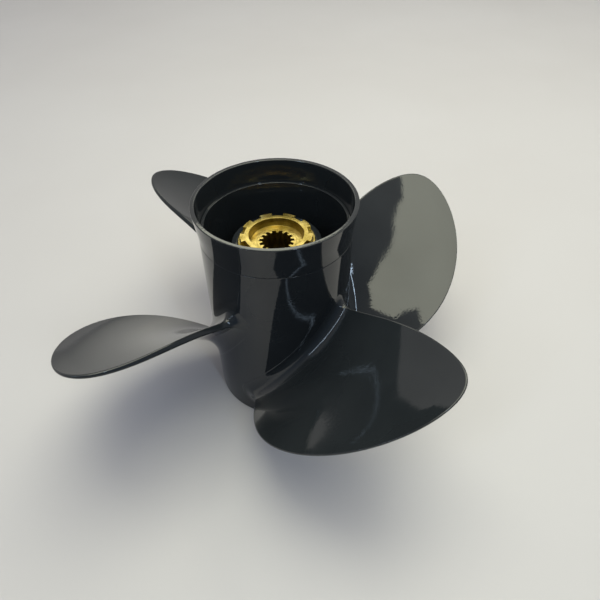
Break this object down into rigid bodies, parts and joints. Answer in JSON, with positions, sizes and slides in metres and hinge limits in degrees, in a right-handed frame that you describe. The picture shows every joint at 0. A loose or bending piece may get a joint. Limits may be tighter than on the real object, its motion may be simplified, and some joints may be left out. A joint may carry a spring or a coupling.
{
  "type": "boat propeller",
  "caption": "Right-hand boat propeller with broad blades on a flared exhaust barrel, painted dark grey, turned by a splined brass sleeve in a rubber bush.",
  "frame": {"origin": "centre of the forward rim of the barrel, on the floor it stands on", "axes": "+Z along the shaft axis towards the aft end, +X above the tip of blade_1, +Y above the tip of blade_2"},
  "size_m": [0.3556, 0.3556, 0.178],
  "materials": {
    "casting_paint": "smooth gloss dark grey paint on an aluminium casting",
    "sleeve_brass": "bright machined brass with fine turning marks",
    "bush_rubber": "plain matt black rubber"
  },
  "bodies": {
    "root": {"barrel": "casting_paint", "diffuser_ring": "casting_paint", "inner_hub": "casting_paint", "web_1": "casting_paint", "web_2": "casting_paint", "web_3": "casting_paint", "web_4": "casting_paint", "blade_1": "casting_paint", "blade_2": "casting_paint", "blade_3": "casting_paint", "blade_4": "casting_paint", "spline_sleeve": "sleeve_brass", "rubber_bush": "bush_rubber"}
  },
  "joints": []
}
